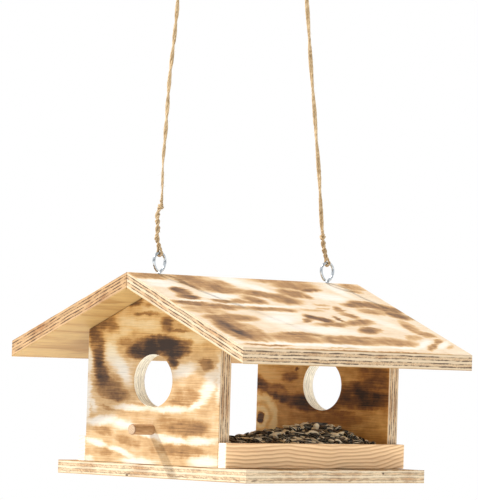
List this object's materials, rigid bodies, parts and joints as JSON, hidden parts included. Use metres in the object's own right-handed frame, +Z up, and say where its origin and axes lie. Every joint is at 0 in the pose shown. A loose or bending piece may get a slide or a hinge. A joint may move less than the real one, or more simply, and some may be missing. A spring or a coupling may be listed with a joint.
{
  "type": "hanging bird feeder",
  "caption": "Open-sided flamed-plywood house feeder with a pitched roof, round end holes, perches and a railed seed tray, hung on jute twine from screw eyes.",
  "frame": {"origin": "on the level line that both top loops of twine hang from, straight above the middle of the house", "axes": "+Z up, against gravity; X along the ridge with the front gable at -X; the open feeding sides face -Y and +Y"},
  "size_m": [0.332, 0.3, 0.5273],
  "materials": {
    "flamed_plywood": "scorched and brushed pine plywood, satin",
    "base_plywood": "bare pine plywood, layered edges",
    "pine": "bare solid pine, planed",
    "zinc_steel": "bright zinc plating",
    "brad_steel": "dull, scorched with the wood",
    "jute_twine": "natural twisted fibre, fuzzy",
    "sunflower_seed": "black husks striped with cream"
  },
  "bodies": {
    "hanger": {"front_twine": "jute_twine", "back_twine": "jute_twine", "front_eye_hitch": "jute_twine", "back_eye_hitch": "jute_twine", "front_top_loop": "jute_twine", "back_top_loop": "jute_twine"},
    "house": {"back_gable": "flamed_plywood", "back_perch": "pine", "back_screw_eye": "zinc_steel", "base_board": "base_plywood", "base_screw_back_far": "zinc_steel", "base_screw_back_near": "zinc_steel", "base_screw_front_far": "zinc_steel", "base_screw_front_near": "zinc_steel", "far_roof_panel": "flamed_plywood", "far_seed_rail": "pine", "front_gable": "flamed_plywood", "front_perch": "pine", "front_screw_eye": "zinc_steel", "near_roof_panel": "flamed_plywood", "near_seed_rail": "pine", "rail_brad_back_far": "brad_steel", "rail_brad_back_near": "brad_steel", "rail_brad_front_far": "brad_steel", "rail_brad_front_near": "brad_steel", "roof_brad_back_far_lower": "brad_steel", "roof_brad_back_far_upper": "brad_steel", "roof_brad_back_near_lower": "brad_steel", "roof_brad_back_near_upper": "brad_steel", "roof_brad_front_far_lower": "brad_steel", "roof_brad_front_far_upper": "brad_steel", "roof_brad_front_near_lower": "brad_steel", "roof_brad_front_near_upper": "brad_steel", "sunflower_seed": "sunflower_seed"}
  },
  "joints": [
    {"name": "house_swing", "type": "hinge", "parent": "hanger", "child": "house", "pos_m": [0, 0, -0.3122], "axis": [1, 0, 0], "range_deg": [-25, 25]}
  ]
}
